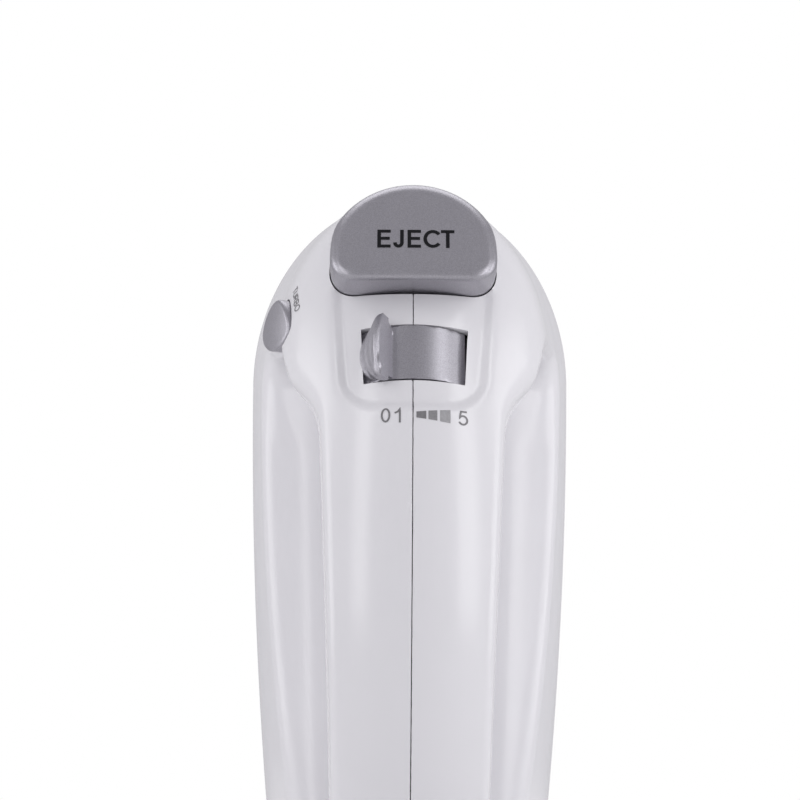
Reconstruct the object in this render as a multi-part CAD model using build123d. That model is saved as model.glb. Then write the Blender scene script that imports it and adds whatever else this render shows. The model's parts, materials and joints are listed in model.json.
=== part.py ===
from build123d import *
from math import atan, cos, degrees, pi, radians, sqrt, tan
import os

# Hand mixer, standing on its heel with the nose up.
# X runs across it, -Y points to the handle side, +Y to the beaters, +Z from heel to nose.
# The origin is the centre of the heel pad's ground face, on the motor's axis.

# ---- driving dimensions, mm ----
HALF_WIDTH = 42.0        # half of the widest point
LENGTH = 200.0           # heel to nose tip
WIDEST_Z = 150.0
NOSE = LENGTH - WIDEST_Z
HEEL_HALF = 32.8         # half width at the heel end
BELLY_Y = 38.0
BELLY_ROUND = 13.0
DECK_Y = -36.0           # top of the body under the finger gap
DECK_ROUND = 6.0
WALL = 2.5

ARCH_R = 150.0           # side view radius of the handle's top line
ARCH_Y = 53.0
ARCH_Z = 100.0
HANDLE_THICK = 32.0
HANDLE_HALF_HEEL = 18.0
HANDLE_HALF_HEAD = 20.5
HEAD_Z = 118.0           # where the handle starts to flare into the head
CROWN_Y = -10.0          # level at which the head is widest
CROWN_HALF_HEIGHT = 79.0
CROWN_POWER = 2.0
GAP_Z0 = 34.0            # finger gap, heel end and head end
GAP_Z1 = 151.0

PAD_THICK = 3.0
CHAMFER = 12.0           # cut corner behind the handle, where the cord comes out
CORD_R = 3.6
GLAND_R = 7.0
GLAND_LENGTH = 12.0

EJECT_TRAVEL = 7.0
EJECT_Z = 173.0
DIAL_Z = 145.3
DIAL_R = 17.0
DIAL_DEPTH = 18.2        # dial axis below the arch
DIAL_WIDE = 13.5
DIAL_REST = 25.0         # the fin's angle to the left of the middle at "0"
TURBO_TRAVEL = 2.5
FIT = 0.05               # running clearance on the radius

SHAFT_R = 2.5
SHAFT_Z0 = 14.0
SHAFT_Z1 = 180.0
STATOR_Z0 = 60.0
STATOR_Z1 = 86.0
STATOR_HALF = 26.0
BORE_R = 16.5
CORE_R = 16.0
COMMUTATOR_R = 9.0

SPINDLE_X = 19.5
SPINDLE_Z = 150.0
WORM_R = 4.5             # pitch radius
MODULE = 1.0
WORM_STARTS = 2
WHEEL_TEETH = 30
WHEEL_R = MODULE * WHEEL_TEETH / 2
WHEEL_THICK = 9.0
SPINDLE_R = 5.0
SPINDLE_END = 30.0
BEATER_SHAFT_R = 2.4
BEATER_TOP_Y = -18.0
BEATER_TIP_Y = 168.0
COLLAR_R = {-1: 5.0, 1: 7.5}  # the right beater's collar only fits the right socket
CAGE_R = 22.0

OUT = 60.0               # past every outer face, for cutters

MIRROR_X = (1, -1)


# ---- helpers ----
def level(y):
    """Drawing plane across Y: drawn as x and z, extruded towards -Y."""
    return Plane(origin=(0, y, 0), x_dir=(1, 0, 0), z_dir=(0, -1, 0))


def across(x):
    """Drawing plane across X: drawn as y and z, extruded towards +X."""
    return Plane(origin=(x, 0, 0), x_dir=(0, 1, 0), z_dir=(1, 0, 0))


def block(x0, x1, y0, y1, z0, z1):
    return Pos((x0 + x1) / 2, (y0 + y1) / 2, (z0 + z1) / 2) * Box(x1 - x0, y1 - y0, z1 - z0)


def rod_x(radius, x0, x1, y, z):
    return Pos((x0 + x1) / 2, y, z) * Rot(0, 90, 0) * Cylinder(radius, x1 - x0)


def rod_y(radius, y0, y1, x, z):
    return Pos(x, (y0 + y1) / 2, z) * Rot(90, 0, 0) * Cylinder(radius, y1 - y0)


def rod_z(radius, z0, z1, x=0.0, y=0.0):
    return Pos(x, y, (z0 + z1) / 2) * Cylinder(radius, z1 - z0)


def arch_y(z, inset=0.0):
    return ARCH_Y - sqrt((ARCH_R - inset) ** 2 - (z - ARCH_Z) ** 2)


def arch_frame(z, depth=0.0):
    """Plane on the arch: x across, y straight out of the surface, z towards the heel."""
    turn = (z - ARCH_Z) / ARCH_R
    along = sqrt(1 - turn ** 2)
    spot = (0, ARCH_Y - (ARCH_R - depth) * along, ARCH_Z + (ARCH_R - depth) * turn)
    return Plane(origin=spot, x_dir=(1, 0, 0), z_dir=(0, -turn, -along))


def sector(r0, r1, start, sweep, height):
    """Part of a ring, from z = 0 up."""
    inner = CenterArc((0, 0), r0, start, sweep)
    outer = CenterArc((0, 0), r1, start, sweep)
    edges = [inner, outer, Line(inner @ 0, outer @ 0), Line(inner @ 1, outer @ 1)]
    return extrude(make_face(edges), height)


def tube_y(radius, bore, y0, y1, x, z):
    return rod_y(radius, y0, y1, x, z) - rod_y(bore, y0 - 1, y1 + 1, x, z)


def save(node, shape):
    export_step(shape, f"parts/{node}.step")


# ---- casing ----
def hull(inset):
    """The body under the handle, drawn from above and rounded at the belly."""
    half = HALF_WIDTH - inset
    heel = HEEL_HALF - inset
    side_r = WIDEST_Z ** 2 / (2 * (HALF_WIDTH - HEEL_HALF))
    bow = half - side_r + sqrt(side_r ** 2 - (WIDEST_Z / 2) ** 2)
    outline = make_face([
        Line((-heel, PAD_THICK + inset), (heel, PAD_THICK + inset)),
        ThreePointArc((heel, PAD_THICK + inset), (bow, WIDEST_Z / 2), (half, WIDEST_Z)),
        EllipticalCenterArc((0, WIDEST_Z), half, NOSE - inset, 0, arc_size=180),
        ThreePointArc((-half, WIDEST_Z), (-bow, WIDEST_Z / 2), (-heel, PAD_THICK + inset)),
    ])
    shell = level(BELLY_Y - inset) * extrude(outline, BELLY_Y - DECK_Y - 2 * inset)
    upright = shell.edges().filter_by(Axis.Y).group_by(Axis.Z)[0]
    shell = fillet(upright, BELLY_ROUND - inset)
    shell = fillet(shell.faces().sort_by(Axis.Y)[-1].edges(), BELLY_ROUND - inset)
    return fillet(shell.faces().sort_by(Axis.Y)[0].edges(), DECK_ROUND - inset)


def head_half(y, full):
    """Reach of the head at level y, where full is its reach at the widest level."""
    share = min(abs(y - CROWN_Y) / CROWN_HALF_HEIGHT, 0.985)
    return full * (1 - share ** CROWN_POWER) ** (1 / CROWN_POWER)


def head(inset):
    """The nose above the body: level outlines that draw in towards the top."""
    sections = []
    for y in (-22, -42, -58, -72, -84, -97):
        half = head_half(y, HALF_WIDTH) - inset
        nose = head_half(y, NOSE) - inset
        waist = min(HANDLE_HALF_HEAD, half + inset - 1.5) - inset
        bend = waist + 0.28 * (half - waist)
        outline = make_face([
            Line((-waist, HEAD_Z), (waist, HEAD_Z)),
            ThreePointArc((waist, HEAD_Z), (bend, HEAD_Z + 22), (half, WIDEST_Z)),
            EllipticalCenterArc((0, WIDEST_Z), half, nose, 0, arc_size=180),
            ThreePointArc((-half, WIDEST_Z), (-bend, HEAD_Z + 22), (-waist, HEAD_Z)),
        ])
        sections.append(level(y) * outline)
    return loft(sections)


def handle(inset):
    """The handle and the column that joins it to the heel, before the finger gap is cut."""
    rear = HANDLE_HALF_HEEL - inset
    front = HANDLE_HALF_HEAD - inset
    low = PAD_THICK + inset
    tip = HANDLE_HALF_HEAD - 4.5 - inset
    end = 164 - inset
    outline = make_face(Polyline((-rear, low), (rear, low), (front, 140), (tip, end), (-tip, end), (-front, 140),
                                 (-rear, low)))
    return level(-25) * extrude(outline, 80)


def arch_cut(inset):
    """Everything under the arch of the handle's top line."""
    return rod_x(ARCH_R - inset, -OUT, OUT, ARCH_Y, ARCH_Z)


def finger_gap(grow):
    """The slot between handle and body, right through from side to side."""
    under_handle = rod_x(ARCH_R - HANDLE_THICK + grow, -OUT, OUT, ARCH_Y, ARCH_Z)
    slot = block(-OUT, OUT, -90, DECK_Y + grow, GAP_Z0 - grow, GAP_Z1 + grow)
    gap = under_handle & slot
    return fillet(gap.edges().filter_by(Axis.X), 4.0 + grow)


def outer_body(inset):
    corner = PAD_THICK + CHAMFER + inset * 1.4
    body = (hull(inset) + head(inset) + handle(inset)) & arch_cut(inset)
    rear_y = arch_y(corner, inset)
    wedge = make_face(Polyline((rear_y, corner), (rear_y - 9, corner), (rear_y - 9, -9),
                               (rear_y + corner + 9, -9), (rear_y, corner)))
    return body - across(-OUT) * extrude(wedge, 2 * OUT)


# ---- eject button ----
EJECT_HALF = 20.0
EJECT_REAR = 160.8
EJECT_FRONT = 186.5
EJECT_TOP_Y = -92.6      # top face at its rear edge
EJECT_LEAN = 29.0        # slope of the top face, degrees
EJECT_SKIN = 2.2
EJECT_CORNER = 5.5
SKIRT_Y = -66.0          # lower rim of the button's skirt at rest
STEM_WIDE = 10.0
STEM_DEEP = 5.0
STEM_END_Y = -31.0
SHELF_Y = -49.0
SHELF_THICK = 2.5
SPRING_SEAT_Y = -66.5
SEAT_HALF = 8.0
FORK_THICK = 3.0
PRONG_R = 2.2


def eject_outline(grow):
    """Half-moon with a straight rear side and rounded rear corners."""
    half = EJECT_HALF + grow
    rear = EJECT_REAR - grow
    hip = EJECT_REAR + 9
    moon = make_face([
        Line((-half, rear), (half, rear)),
        Line((half, rear), (half, hip)),
        ThreePointArc((half, hip), (0, EJECT_FRONT + grow), (-half, hip)),
        Line((-half, hip), (-half, rear)),
    ])
    return fillet(moon.vertices().group_by(Axis.Y)[0], EJECT_CORNER + grow)


def eject_prism(grow, top):
    """The half-moon as a prism, cut off by the sloping top face lowered by top."""
    slope = tan(radians(EJECT_LEAN))
    z0 = EJECT_REAR - 10
    z1 = EJECT_REAR + OUT
    y0 = EJECT_TOP_Y + top / cos(radians(EJECT_LEAN)) + (z0 - EJECT_REAR) * slope
    y1 = y0 + (z1 - z0) * slope
    below = make_face(Polyline((y0, z0), (y1, z1), (-20, z1), (-20, z0), (y0, z0)))
    prism = level(SKIRT_Y) * extrude(eject_outline(grow), 40)
    return prism & (across(-OUT) * extrude(below, 2 * OUT))


def eject_button():
    """Hollow cap with a stem to the fork and a plate that the spring pushes on."""
    cap = eject_prism(0, 0)
    cap = fillet(cap.faces().sort_by(Axis.Y)[0].edges(), 2.0)
    cap -= eject_prism(-EJECT_SKIN, 3.0)
    room = eject_prism(-2.0, 2.9) + block(-20, 20, SKIRT_Y - 1, -20, 150, 190)
    long = STEM_END_Y + 84
    stem = Pos(0, STEM_END_Y - long / 2, EJECT_Z) * Box(STEM_WIDE, long, STEM_DEEP)
    seat = Pos(0, SPRING_SEAT_Y - 1.25, EJECT_Z) * Box(2 * SEAT_HALF, 2.5, 2 * SEAT_HALF)
    return cap + (stem & room) + seat


def eject_fork():
    """Plate under the stem with a prong over each beater shaft."""
    low = STEM_END_Y + FORK_THICK
    reach = SPINDLE_X + 3.5
    fork = block(-SEAT_HALF, SEAT_HALF, STEM_END_Y, low, SPINDLE_Z - 4, EJECT_Z + 5)
    fork += block(-reach, reach, STEM_END_Y, low, SPINDLE_Z - 4, SPINDLE_Z + 4)
    for side in MIRROR_X:
        fork += rod_y(PRONG_R, low, BEATER_TOP_Y - 0.2, side * SPINDLE_X, SPINDLE_Z)
    return fork


# ---- springs ----
def coil(radius, wire, turns, length):
    """Compression spring along +Z from z = 0, measured over its wire."""
    path = Helix(pitch=(length - 2 * wire) / turns, height=length - 2 * wire, radius=radius)
    start = Plane(origin=path @ 0, z_dir=path % 0)
    return Pos(0, 0, wire) * sweep(start * Circle(wire), path=path, is_frenet=True)


# ---- speed dial ----
WINDOW_HALF = 12.3
WINDOW_LONG = 14.2
POCKET_HALF = 16.6
POCKET_Z0 = 135.0
POCKET_Z1 = 160.0
POCKET_DEEP = 1.3
DIAL_COVER = 70.0        # the drum's reach to each side of the fin, degrees
AXLE_R = 1.5
FIN_HALF = 2.9
FIN_HIGH = 6.4


def dial_drum():
    """Drum sector with two webs and a hub, drawn with the fin straight up."""
    low = -DIAL_WIDE / 2
    start = 90 - DIAL_COVER
    rim = sector(DIAL_R - 2.2, DIAL_R, start, 2 * DIAL_COVER, DIAL_WIDE)
    web = sector(AXLE_R + 0.5, DIAL_R - 2.0, start, 2 * DIAL_COVER, 1.6)
    hub = Cylinder(3.2, DIAL_WIDE, align=(Align.CENTER, Align.CENTER, Align.MIN))
    bore = Cylinder(AXLE_R, 3 * DIAL_WIDE)
    drum = rim + web + Pos(0, 0, DIAL_WIDE - 1.6) * web + hub - bore
    return Pos(0, 0, low) * drum


def speed_dial():
    fin = extrude(Plane.XZ * Ellipse(FIN_HALF, DIAL_WIDE / 2 - 0.1), DIAL_R + FIN_HIGH)
    fin = Rot(0, 0, 180) * fin - Cylinder(DIAL_R - 1, 40)
    fin = fillet(fin.faces().sort_by(Axis.Y)[-1].edges(), 0.8)
    grooves = [Pos(-FIN_HALF, DIAL_R + 2 + k * 1.5, 0) * Box(1.4, 0.7, 20) for k in (0, 1)]
    turned = Rot(0, 0, DIAL_REST) * (dial_drum() + fin - grooves)
    return arch_frame(DIAL_Z, DIAL_DEPTH) * turned


def dial_axle():
    return arch_frame(DIAL_Z, DIAL_DEPTH) * Pos(0, 0, 3) * Cylinder(AXLE_R, 28)


def dial_carrier():
    """Bracket whose two ears carry the dial's axle."""
    ear = Box(12, 12, 2.4) - Pos(0, 2, 0) * Cylinder(AXLE_R + FIT, 4)
    base = Pos(0, -6.8, 0) * Box(12, 1.6, 19.4)
    frame = base + Pos(0, -2, -8.5) * ear + Pos(0, -2, 8.5) * ear
    return arch_frame(DIAL_Z, DIAL_DEPTH) * frame


def speed_switch():
    body = Pos(0, 0, 14.2) * Box(17, 12, 9) - Cylinder(AXLE_R + FIT, 60)
    return arch_frame(DIAL_Z, DIAL_DEPTH) * body


# ---- turbo button ----
TURBO_SPOT = (-33.2, -62.5, 157.5)
TURBO_OUT = (-0.90, -0.43, 0.06)
TURBO_HALF_HIGH = 7.4    # across the flank, upwards
TURBO_BLUNT = 4.9        # reach of the egg shape to its blunt end, towards the heel
TURBO_POINT = 7.6        # reach to its pointed end, towards the nose
TURBO_DEEP = 9.6
TURBO_PIN = 13.0
TURBO_PIN_Y = 3.0        # pin and switch sit towards the nose, clear of the finger gap
TURBO_SEAT = TURBO_PIN + TURBO_TRAVEL + 0.5  # depth of the switch, which the spring stands on
TURBO_SWITCH = (10.4, 6.8, 9.0)
TURBO_SWITCH_X = -2.2    # the switch sits low, clear of the eject button at full travel


def turbo_frame():
    """Plane on the button's outer face; y runs towards the nose."""
    return Plane(origin=TURBO_SPOT, x_dir=(0.43, -0.90, 0), z_dir=TURBO_OUT)


def turbo_outline(grow):
    """Egg shape of two half ellipses."""
    wide = TURBO_HALF_HIGH + grow
    return make_face([EllipticalCenterArc((0, 0), wide, TURBO_POINT + grow, 0, arc_size=180),
                      EllipticalCenterArc((0, 0), wide, TURBO_BLUNT + grow, 180, arc_size=180)])


def turbo_button():
    cap = Pos(0, 0, -TURBO_DEEP) * extrude(turbo_outline(0), TURBO_DEEP)
    cap = fillet(cap.faces().sort_by(Axis.Z)[-1].edges(), 0.9)
    lug = Pos(0, TURBO_POINT + 0.6, -TURBO_DEEP + 0.6) * Box(4, 2.4, 1.2)
    pin = Pos(0, TURBO_PIN_Y, -TURBO_PIN) * Cylinder(1.5, TURBO_PIN - TURBO_DEEP + 1,
                                                     align=(Align.CENTER, Align.CENTER, Align.MIN))
    return turbo_frame() * (cap + lug + pin)


def turbo_hole():
    deep = TURBO_DEEP + TURBO_TRAVEL + 0.3
    return turbo_frame() * Pos(0, 0, -deep) * extrude(turbo_outline(0.3), deep + 10)


def turbo_switch():
    depth = TURBO_SEAT + TURBO_SWITCH[2] / 2
    return turbo_frame() * Pos(TURBO_SWITCH_X, TURBO_PIN_Y, -depth) * Box(*TURBO_SWITCH)


def turbo_spring():
    return turbo_frame() * Pos(0, TURBO_PIN_Y, -TURBO_SEAT) * coil(2.6, 0.35, 4, TURBO_SEAT - TURBO_DEEP)


# ---- casing halves ----
SCREWS = ((-44.0, 22.0, 7.0), (29.5, 48.0, 14.0), (29.5, 100.0, 14.0), (-71.0, 112.0, 8.0),
          (8.0, 187.0, 10.0))  # y, z and how far the head sits from the parting plane
SCREW_R = 1.4
SCREW_HEAD_R = 2.9
SCREW_GRIP = 9.0
HEAD_BOSS_R = 4.8
SCREW_BOSS_R = 3.8
VENT_ROWS = 6
VENT_Z = 18.0
VENT_STEP = 5.0
VENT_X = 15.0
VENT_HALF = 9.0
VENT_HIGH = 2.2


def gland_frame():
    """Plane on the cut corner behind the handle, pointing out of the mixer."""
    corner = PAD_THICK + CHAMFER
    middle = CHAMFER / 2
    return Plane(origin=(0, arch_y(corner) + middle, corner - middle), x_dir=(1, 0, 0), z_dir=(0, -1, -1))


def shell():
    body = outer_body(0) - finger_gap(0)
    hollow = outer_body(WALL) - finger_gap(WALL)
    rib = block(-45, 45, SHELF_Y, SHELF_Y + SHELF_THICK, 163, 183) & hollow
    rib -= block(-STEM_WIDE / 2 - 0.4, STEM_WIDE / 2 + 0.4, -60, -40, EJECT_Z - 3, EJECT_Z + 3)
    casing = body - hollow + rib
    for y, z, seat in SCREWS:
        casing += rod_x(HEAD_BOSS_R, -OUT, 0, y, z) & body
        casing += rod_x(SCREW_BOSS_R, 0, OUT, y, z) & body
    for y, z, seat in SCREWS:
        casing -= rod_x(SCREW_HEAD_R + 0.4, -OUT, -seat, y, z)
        casing -= rod_x(SCREW_R + 0.2, -seat - 1, 0, y, z)
        casing -= rod_x(SCREW_R, 0, SCREW_GRIP, y, z)
    return casing


def casing_cuts():
    """Openings through the casing wall."""
    wide = POCKET_HALF + 1
    pocket = make_face(Polyline((-POCKET_HALF, POCKET_Z0), (POCKET_HALF, POCKET_Z0), (wide, POCKET_Z1),
                                (-wide, POCKET_Z1), (-POCKET_HALF, POCKET_Z0)))
    pocket = fillet(pocket.vertices(), 5)
    cuts = [level(-60) * extrude(pocket, 60) - arch_cut(POCKET_DEEP)]
    cuts.append(arch_frame(DIAL_Z) * Box(2 * WINDOW_HALF, 14, WINDOW_LONG))
    cuts.append(level(SKIRT_Y + EJECT_TRAVEL + 0.5) * extrude(eject_outline(0.4), 50))
    cuts.append(turbo_hole())
    cuts.append(gland_frame() * Cylinder(GLAND_R, 30))
    for side in MIRROR_X:
        cuts.append(rod_y(COLLAR_R[side] + 0.8, BELLY_Y - 8, OUT, side * SPINDLE_X, SPINDLE_Z))
        for row in range(VENT_ROWS):
            z = VENT_Z + VENT_STEP * row
            cuts.append(block(side * VENT_X - VENT_HALF, side * VENT_X + VENT_HALF, BELLY_Y - 8, OUT,
                              z - VENT_HIGH / 2, z + VENT_HIGH / 2))
    return cuts


def casing_screws():
    screws = []
    for y, z, seat in SCREWS:
        slot = block(-seat - 2.5, -seat - 1.2, y - 2, y + 2, z - 0.4, z + 0.4)
        head_end = rod_x(SCREW_HEAD_R, -seat - 2.4, -seat, y, z) - slot
        screws.append(head_end + rod_x(SCREW_R, -seat - 0.1, SCREW_GRIP, y, z))
    return Compound(children=screws)


def heel_pad():
    wide = Pos(0, -1, PAD_THICK / 2) * Box(52, 54, PAD_THICK)
    tail = Pos(0, -40, PAD_THICK / 2) * Box(26, 30, PAD_THICK)
    pad = wide + tail
    return fillet(pad.edges().filter_by(Axis.Z), 4)


def cord_gland():
    sleeve = Pos(0, 0, 2.5 - GLAND_LENGTH / 2) * Cylinder(GLAND_R, GLAND_LENGTH)
    flange = Pos(0, 0, 1.25) * Cylinder(GLAND_R + 1.3, 2.5)
    flange = fillet(flange.edges().group_by(Axis.Z)[-1], 1.0)
    return gland_frame() * (sleeve + flange - Cylinder(CORD_R, 60))


# ---- motor ----
POST = 22.0              # motor posts stand at x and y = +-POST
BUSH_R = 5.0
FAN_Z0 = 26.0
FAN_R = 19.0
BRUSH_Z = 45.0
CORE_SLOTS = 12


def posts(z0, z1):
    return [rod_z(2.6, z0, z1, x * POST, y * POST) for x in MIRROR_X for y in MIRROR_X]


def stator_core():
    """Two-pole lamination pack; the gaps beside the poles take the field coils."""
    core = fillet(extrude(Rectangle(2 * STATOR_HALF, 2 * STATOR_HALF), STATOR_Z1 - STATOR_Z0)
                  .edges().filter_by(Axis.Z), 6)
    core = Pos(0, 0, STATOR_Z0) * core - rod_z(BORE_R, 50, 100)
    for side in MIRROR_X:
        window = sector(BORE_R - 1, 22.4, -31, 62, 60)
        core -= Pos(0, 0, 50) * Rot(0, 0, 90 - 90 * side) * window
    return core


def field_coils():
    """One coil around each pole: two legs through the core and an arched turn at each end."""
    coils = []
    for turn in (0, 180):
        ring = sector(17.6, 22.0, 4, 172, 5.6)
        leg = sector(17.6, 22.0, 4, 22, STATOR_Z1 - STATOR_Z0 + 4)
        far_leg = sector(17.6, 22.0, 154, 22, STATOR_Z1 - STATOR_Z0 + 4)
        coil_body = Pos(0, 0, STATOR_Z0 - 6) * ring + Pos(0, 0, STATOR_Z1 + 0.4) * ring
        coil_body += Pos(0, 0, STATOR_Z0 - 2) * (leg + far_leg)
        coils.append(Rot(0, 0, turn) * coil_body)
    return Compound(children=coils)


def rear_bracket():
    """Cross plate with the rear bearing's seat, four posts to the stator and two brush bars."""
    plate = block(-25, 25, -25, 25, 19, 22) - rod_z(BUSH_R, 10, 30)
    plate = fillet(plate.edges().filter_by(Axis.Z).group_by(SortBy.LENGTH)[0], 4)
    frame = plate + posts(21, STATOR_Z0)
    for side in MIRROR_X:
        bar = block(side * 22 - 1.6, side * 22 + 1.6, -POST, POST, BRUSH_Z - 6.5, BRUSH_Z + 6.5)
        frame += bar - block(-40, 40, -4, 4, BRUSH_Z - 4, BRUSH_Z + 4)
    return frame


def motor_shaft():
    return rod_z(SHAFT_R, SHAFT_Z0, SHAFT_Z1 - 6)


def armature_core():
    core = rod_z(CORE_R, STATOR_Z0 - 1, STATOR_Z1 + 1) - rod_z(SHAFT_R, 40, 100)
    for k in range(CORE_SLOTS):
        core -= Rot(0, 0, 360 / CORE_SLOTS * k) * block(8.5, 15, -1.9, 1.9, 40, 100)
        core -= Rot(0, 0, 360 / CORE_SLOTS * k) * block(14, 18, -0.9, 0.9, 40, 100)
    return core


def armature_winding():
    """Wire in the core's slots, joined by a bulge of end turns at each end."""
    low = STATOR_Z0 - 1
    high = STATOR_Z1 + 1
    ends = [rod_z(14.4, low - 7, low), rod_z(14.4, high, high + 6)]
    ends = [fillet(end.edges(), 2.0) - rod_z(4.5, 40, 110) for end in ends]
    winding = ends[0] + ends[1]
    for k in range(CORE_SLOTS):
        winding += Rot(0, 0, 360 / CORE_SLOTS * k) * block(8.7, 14.2, -1.7, 1.7, low - 3, high + 3)
    return winding


def commutator():
    drum = rod_z(COMMUTATOR_R, 39.5, 51) - rod_z(SHAFT_R, 30, 60)
    for k in range(2 * CORE_SLOTS):
        drum -= Rot(0, 0, 180 / CORE_SLOTS * k) * block(8.2, 10, -0.2, 0.2, 39, 52)
    return drum


def cooling_fan():
    fan = rod_z(5.5, FAN_Z0, FAN_Z0 + 11) + rod_z(FAN_R, FAN_Z0 + 9.4, FAN_Z0 + 11)
    blade = block(4.5, FAN_R - 0.5, -0.8, 0.8, FAN_Z0 + 1, FAN_Z0 + 10)
    for k in range(9):
        fan += Rot(0, 0, 40 * k) * blade
    return fan - rod_z(SHAFT_R, 20, 50)


def brush_holders():
    holders = []
    for side in MIRROR_X:
        tube = block(side * 19.2 - 9.2, side * 19.2 + 9.2, -4, 4, BRUSH_Z - 4, BRUSH_Z + 4)
        inside = block(side * 18 - 9.2, side * 18 + 9.2, -3.1, 3.1, BRUSH_Z - 3.1, BRUSH_Z + 3.1)
        holders.append(tube - inside)
    return Compound(children=holders)


def carbon_brushes():
    return Compound(children=[block(side * 14.6 - 5.2, side * 14.6 + 5.2, -3, 3, BRUSH_Z - 3, BRUSH_Z + 3)
                              for side in MIRROR_X])


def brush_springs():
    spring = coil(2.2, 0.35, 5, 7.2)
    springs = [Pos(side * 19.9, 0, BRUSH_Z) * Rot(0, 90 * side, 0) * spring for side in MIRROR_X]
    return Compound(children=springs)


def bearing(z0, z1):
    return rod_z(BUSH_R, z0, z1) - rod_z(SHAFT_R + FIT, z0 - 1, z1 + 1)


# ---- gearbox ----
FRONT_WALL = (106.0, 110.0)
TIP_WALL = (169.0, 173.0)
TOP_PLATE = (-14.0, -11.0)
BASE_PLATE = (13.0, 17.0)
WORM_Z0 = SPINDLE_Z - 15
WORM_Z1 = SPINDLE_Z + 15
MESH_PHASE = 3.5         # turn that sets each wheel's teeth between the worm's threads, degrees


def gearbox_frame():
    """Open frame: walls with the shaft's bearings, plates with the spindles' bushes, motor posts."""
    front = block(-30, 30, TOP_PLATE[0], BASE_PLATE[1], *FRONT_WALL)
    front += block(-25, 25, -25, 25, *FRONT_WALL)
    tip = block(-22, 22, TOP_PLATE[0], BASE_PLATE[1], *TIP_WALL)
    plan = make_face(Polyline((-30, 106), (30, 106), (35, 118), (35, 160), (22, 173), (-22, 173), (-35, 160),
                              (-35, 118), (-30, 106)))
    frame = front + tip + posts(STATOR_Z1, 107)
    for y0, y1 in (TOP_PLATE, BASE_PLATE):
        frame += level(y1) * extrude(plan, y1 - y0)
    frame -= rod_z(BUSH_R, 100, 180)
    for side in MIRROR_X:
        frame -= rod_y(SPINDLE_R + 2.2, -40, 40, side * SPINDLE_X, SPINDLE_Z)
    return frame


def spindle_bushes():
    bushes = []
    for side in MIRROR_X:
        for y0, y1 in (TOP_PLATE, BASE_PLATE):
            bushes.append(tube_y(SPINDLE_R + 2.2, SPINDLE_R + FIT, y0, y1, side * SPINDLE_X, SPINDLE_Z))
    return Compound(children=bushes)


def worm():
    """Two-start right-hand worm with thinned threads."""
    lead = pi * MODULE * WORM_STARTS
    root = WORM_R - 1.1
    tip = WORM_R + 0.7
    path = Helix(pitch=lead, height=WORM_Z1 - WORM_Z0 - 6, radius=root)
    thread = Polyline((-0.4, 0.85), (1.8, 0.4), (1.8, -0.4), (-0.4, -0.85), (-0.4, 0.85))
    start = Plane(origin=path @ 0, x_dir=(1, 0, 0), z_dir=(0, -1, 0))
    ridge = sweep(start * make_face(thread), path=path, is_frenet=True)
    screw = rod_z(root, WORM_Z0, WORM_Z1)
    for k in range(WORM_STARTS):
        screw += Pos(0, 0, WORM_Z0 + 3) * Rot(0, 0, 360 / WORM_STARTS * k) * ridge
    return screw & rod_z(tip, WORM_Z0, WORM_Z1) - rod_z(SHAFT_R, 100, 200)


def worm_wheel(side):
    """Helical wheel that runs on the worm, with teeth thinned for backlash."""
    lead_angle = atan(WORM_STARTS * MODULE / (2 * WORM_R))
    twist = degrees(WHEEL_THICK * tan(lead_angle) / WHEEL_R)
    root = WHEEL_R - 1.15
    tip = WHEEL_R + 0.75
    profile = Circle(root)
    for k in range(WHEEL_TEETH):
        foot = root - 0.3
        tooth = make_face(Polyline((foot, -0.8), (tip, -0.3), (tip, 0.3), (foot, 0.8), (foot, -0.8)))
        profile += Rot(0, 0, 360 / WHEEL_TEETH * k) * tooth
    face = profile.faces()[0]
    wheel = Solid.extrude_linear_with_rotation(face, (0, 0, 0), (0, 0, WHEEL_THICK), twist)
    wheel = Rot(0, 0, -twist / 2) * Pos(0, 0, -WHEEL_THICK / 2) * Part(wheel.wrapped)
    hub = Cylinder(8.5, 15) - Cylinder(SPINDLE_R, 40)
    wheel = wheel - Cylinder(SPINDLE_R, 40) + hub
    return Pos(side * SPINDLE_X, 0, SPINDLE_Z) * Rot(90, 0, 0) * Rot(0, 0, side * MESH_PHASE) * wheel


def spindle(side):
    return tube_y(SPINDLE_R, BEATER_SHAFT_R + FIT, TOP_PLATE[0] - 2, SPINDLE_END, side * SPINDLE_X, SPINDLE_Z)


# ---- beaters ----
CAGE_Y0 = 96.0
CAGE_Y1 = 166.0
BLADE_WIDE = 5.5
BLADE_THICK = 1.0


def beater_shaft(side):
    return rod_y(BEATER_SHAFT_R, BEATER_TOP_Y, BEATER_TIP_Y, side * SPINDLE_X, SPINDLE_Z)


def beater_collar(side):
    x = side * SPINDLE_X
    collar = rod_y(COLLAR_R[side], SPINDLE_END + 1.0, SPINDLE_END + 3.0, x, SPINDLE_Z)
    collar += rod_y(4.0, SPINDLE_END + 2.5, SPINDLE_END + 9, x, SPINDLE_Z)
    return collar - rod_y(BEATER_SHAFT_R, 0, 60, x, SPINDLE_Z)


def beater_ferrules(side):
    """The two rings that hold the blades' ends on the shaft."""
    rings = [tube_y(4.2, BEATER_SHAFT_R, y0, y0 + 6, side * SPINDLE_X, SPINDLE_Z)
             for y0 in (CAGE_Y0 - 3, CAGE_Y1 - 4)]
    return Compound(children=rings)


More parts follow.
